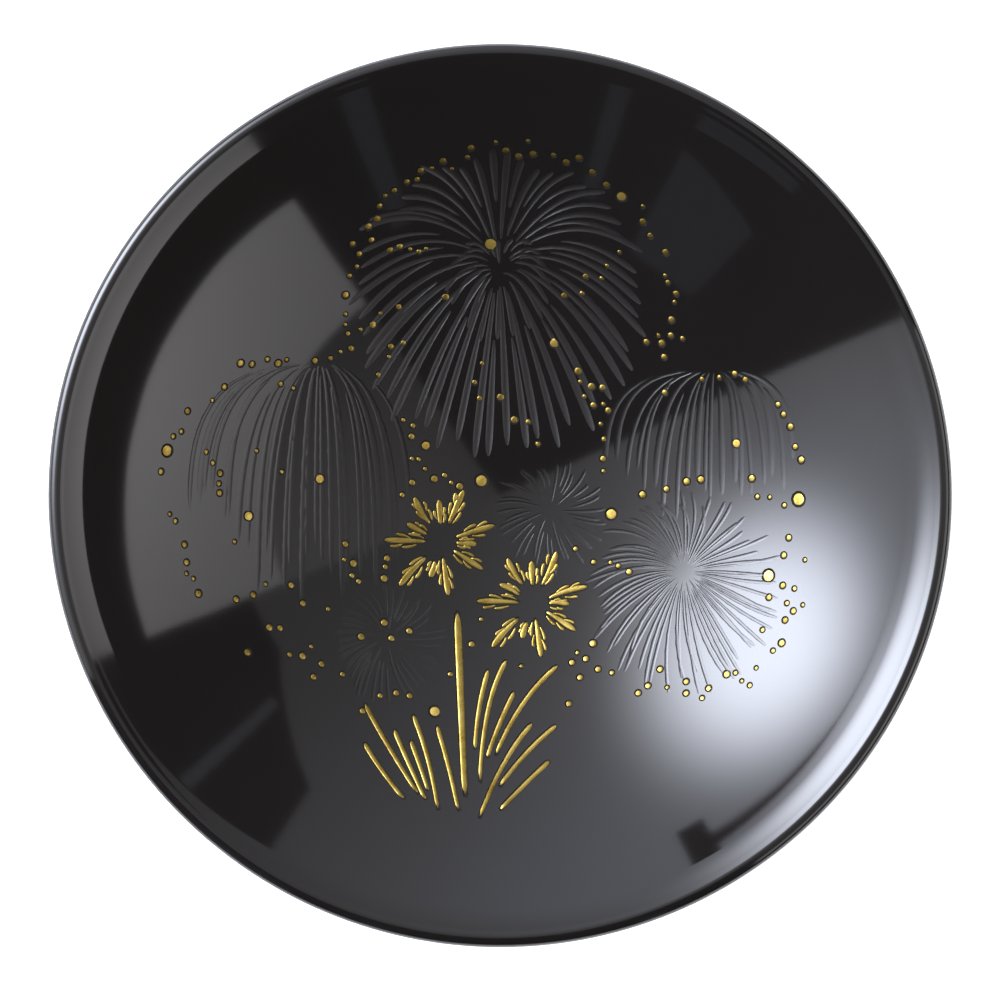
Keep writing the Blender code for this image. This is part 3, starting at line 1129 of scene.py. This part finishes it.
class BOWL_OT_layers(bpy.types.Operator):
    """Give the wood, cloth and undercoat inside the wall their own finishes"""

    bl_idname = "bowl.layers"
    bl_label = "Hidden layers"

    def execute(self, context):
        finishes = (
            (wood_material(), ("wood_core", "foot_ring")),
            (cloth_material(), ("rim_cloth", "centre_cloth", "foot_cloth")),
            (undercoat_material(), ("inner_undercoat", "outer_undercoat")),
        )
        for material, nodes in finishes:
            for node in nodes:
                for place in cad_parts[node].material_slots:
                    place.material = material
        return {"FINISHED"}


# ---------------- stage

# Lengths are in metres here, but for the lens and the sensor, which are in millimetres.
ROOM_RADIUS = 1.6
HOT_WAY = (151.0, 55.6)
FLOOR_HALF = 4.0
FLOOR_DROP = 0.0004
LENS = 400.0
SENSOR = 36.0
BOWL_SHARE = 0.902
CAMERA_Y = -0.0012


def way(degrees, tilt):
    """The unit vector at an angle round Z and a tilt away from it, in degrees."""
    turn, lean = math.radians(degrees), math.radians(tilt)
    return Vector((math.cos(turn) * math.sin(lean), math.sin(turn) * math.sin(lean), math.cos(lean)))


def panel(name, start, end, low_start, low_end, top, material):
    """A panel that gives light, curved round the bowl from start to end in degrees.

    Its foot slopes from low_start to low_end, and its head follows the (radius, height) points of top.
    """
    bm = bmesh.new()
    profile = [(ROOM_RADIUS, 0.0), (ROOM_RADIUS, 0.5), *top]
    first = math.radians(start)
    outline = [(radius * math.cos(first), radius * math.sin(first), height) for radius, height in profile]
    sweep = math.radians(end - start)
    turn(bm, outline, sweep, 32, False)
    for vertex in bm.verts:
        # Only the two lowest rings follow the slope of the foot.
        if vertex.co.z < 0.6:
            turned = (math.atan2(vertex.co.y, vertex.co.x) - first) % (2 * math.pi)
            # The first edge may come out a hair before its start, nearly a full turn away.
            share = turned / sweep if turned < sweep + 0.1 else 0.0
            foot = low_start + (low_end - low_start) * share
            vertex.co.z = foot + vertex.co.z * 0.2
    card = mesh_object(name, bm, material, unit=1)
    card.visible_camera = False
    card.visible_shadow = False
    card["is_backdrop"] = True


def glow(name, color, spot_color, base, *spots):
    """Light of an even base strength with soft spots: (way, spread in degrees, strength, steepness)."""
    material = bpy.data.materials.new(name)
    material.use_nodes = True
    tree = material.node_tree
    tree.nodes.clear()
    wire = Wire(tree)
    toward = wire.node("ShaderNodeVectorMath", {"operation": "NORMALIZE"}, {0: object_place(wire)})
    strength = base
    tint = opaque(color)
    for spot, spread, power, steepness in spots:
        settings = {"operation": "DISTANCE"}
        away = wire.node("ShaderNodeVectorMath", settings, {0: toward, 1: spot}, output="Value")
        fall = wire.math("POWER", away * (1 / math.radians(spread)), steepness)
        share = wire.math("POWER", math.e, fall * -1)
        strength = strength + power * share
        tint = wire.mix(share, tint, opaque(spot_color))
    if spots:
        # The strength socket takes no wire, so the colour carries the strength of the spots.
        scaled = {0: tint, "Scale": strength}
        tint = wire.node("ShaderNodeVectorMath", {"operation": "SCALE"}, scaled)
        strength = 1.0
    shader = wire.node("ShaderNodeEmission", None, {"Color": tint, "Strength": strength})
    out = tree.nodes.new("ShaderNodeOutputMaterial")
    tree.links.new(shader.socket, out.inputs["Surface"])
    return material


class BOWL_OT_stage(bpy.types.Operator):
    """Set the pale floor, the soft studio cards, the room and the camera"""

    bl_idname = "bowl.stage"
    bl_label = "Stage"

    def execute(self, context):
        scene = context.scene
        self.floor()
        self.cards()
        self.room(scene)
        self.camera(scene)
        return {"FINISHED"}

    def floor(self):
        bm = bmesh.new()
        bmesh.ops.create_grid(bm, x_segments=8, y_segments=8, size=FLOOR_HALF)
        bmesh.ops.translate(bm, vec=(0, 0, -FLOOR_DROP), verts=bm.verts)
        material, wire, shader = new_material("pale_floor", Roughness=0.9)
        shader.inputs["Emission Color"].default_value = (1.0, 1.0, 1.0, 1.0)
        shader.inputs["Emission Strength"].default_value = 0.75
        mottle = wire.noise(object_place(wire), 3.0)
        feed(wire, shader, Base_Color=wire.mix(mottle, (0.9, 0.9, 0.9, 1.0), (0.94, 0.94, 0.94, 1.0)))
        floor = mesh_object("floor", bm, material, unit=1)
        floor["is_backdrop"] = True

    def cards(self):
        hot = way(*HOT_WAY)
        warm, cool = (1.0, 0.97, 0.98), (0.9, 0.95, 1.09)
        wall, side = way(105, 80), way(165, 66)
        spots = ((wall, 45, 0.8, 2.0), (side, 42, 2.3, 2.0), (hot, 19.5, 17.6, 3.0))
        room = glow("room_glow", warm, cool, 0.36, *spots)
        pane = glow("pane_glow", warm, warm, 1.15, (way(-15, 80), 42, 1.4, 2.0))
        shade = glow("shade_glow", warm, warm, 0.12, (way(35, 30), 42, 0.68, 2.0))
        bar = glow("bar_glow", cool, cool, 0.5)
        dim = glow("dim_glow", cool, cool, 0.3)
        ceiling = ((ROOM_RADIUS, 1.8), (1.3, 2.3), (0.8, 2.6), (0.3, 2.7), (0.002, 2.7))
        panel("ceiling_window", 57, 117.5, 0.15, 0.15, ceiling, room)
        panel("ceiling_notch", 117.5, 122, 0.48, 0.48, ceiling, room)
        panel("ceiling_side", 122, 204, 0.36, 0.25, ceiling, room)
        panel("ceiling_gap_low", 35, 57, 1.36, 0.7, ceiling, room)
        panel("ceiling_gap", 22, 35, 1.36, 1.36, ceiling, room)
        panel("ceiling_pane", -55, 22, 1.72, 1.72, ceiling, shade)
        panel("pane_card", -55, 22, 0.62, 0.48, ((ROOM_RADIUS, 1.75),), pane)
        panel("bar_card", 41.5, 43.5, 0.3, 0.3, ((ROOM_RADIUS, 1.05),), bar)
        panel("dim_card_left", 288, 292, 0.3, 0.3, ((ROOM_RADIUS, 1.2),), dim)
        panel("dim_card_right", 226, 242, 0.6, 0.4, ((ROOM_RADIUS, 1.3),), dim)
        panel("dim_card_far", 252, 255, 0.3, 0.3, ((ROOM_RADIUS, 1.0),), dim)

    def room(self, scene):
        world = bpy.data.worlds.new("room")
        scene.world = world
        world.use_nodes = True
        tree = world.node_tree
        tree.nodes.clear()
        wire = Wire(tree)
        seen = wire.node("ShaderNodeLightPath", output="Is Camera Ray")
        color = wire.mix(seen, (0.14, 0.135, 0.13, 1.0), (1.0, 1.0, 1.0, 1.0))
        shader = wire.node("ShaderNodeBackground", None, {"Color": color, "Strength": 1.0})
        out = tree.nodes.new("ShaderNodeOutputWorld")
        tree.links.new(shader.socket, out.inputs["Surface"])

    def camera(self, scene):
        data = bpy.data.cameras.new("overhead")
        data.lens = LENS
        data.sensor_width = SENSOR
        camera = bpy.data.objects.new("overhead", data)
        scene.collection.objects.link(camera)
        low, high = CAD_BOX
        distance = (high.x - low.x) / BOWL_SHARE * LENS / SENSOR
        camera.location = (0, CAMERA_Y, high.z + distance)
        scene.camera = camera
        scene.view_settings.view_transform = "Standard"


class BOWL_PT_panel(bpy.types.Panel):
    """Buttons for every step of the bowl"""

    bl_label = "Lacquer bowl"
    bl_idname = "BOWL_PT_panel"
    bl_space_type = "VIEW_3D"
    bl_region_type = "UI"
    bl_category = "Bowl"

    def draw(self, context):
        for group in ("bowl_shape", "bowl_decoration", "bowl_finish"):
            settings = getattr(context.scene, group)
            for name in settings.bl_rna.properties.keys():
                if name not in ("rna_type", "name"):
                    self.layout.prop(settings, name)
        for operator in OPERATORS:
            self.layout.operator(operator.bl_idname)


GROUPS = {"bowl_shape": BowlShape, "bowl_decoration": BowlDecoration, "bowl_finish": BowlFinish}
OPERATORS = (
    BOWL_OT_lacquer,
    BOWL_OT_fountain,
    BOWL_OT_bursts,
    BOWL_OT_stars,
    BOWL_OT_layers,
    BOWL_OT_stage,
)


def register():
    for name, group in GROUPS.items():
        bpy.utils.register_class(group)
        setattr(bpy.types.Scene, name, PointerProperty(type=group))
    for operator in OPERATORS:
        bpy.utils.register_class(operator)
    bpy.utils.register_class(BOWL_PT_panel)


def unregister():
    bpy.utils.unregister_class(BOWL_PT_panel)
    for operator in reversed(OPERATORS):
        bpy.utils.unregister_class(operator)
    for name, group in GROUPS.items():
        delattr(bpy.types.Scene, name)
        bpy.utils.unregister_class(group)


def main():
    register()
    bpy.ops.bowl.lacquer()
    bpy.ops.bowl.fountain()
    bpy.ops.bowl.bursts()
    bpy.ops.bowl.stars()
    bpy.ops.bowl.layers()
    bpy.ops.bowl.stage()
    boxes = {"cad": CAD_BOX, "visual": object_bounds()}
    {name: [list(corner) for corner in box] for name, box in boxes.items()}


if __name__ == "__main__":
    main()
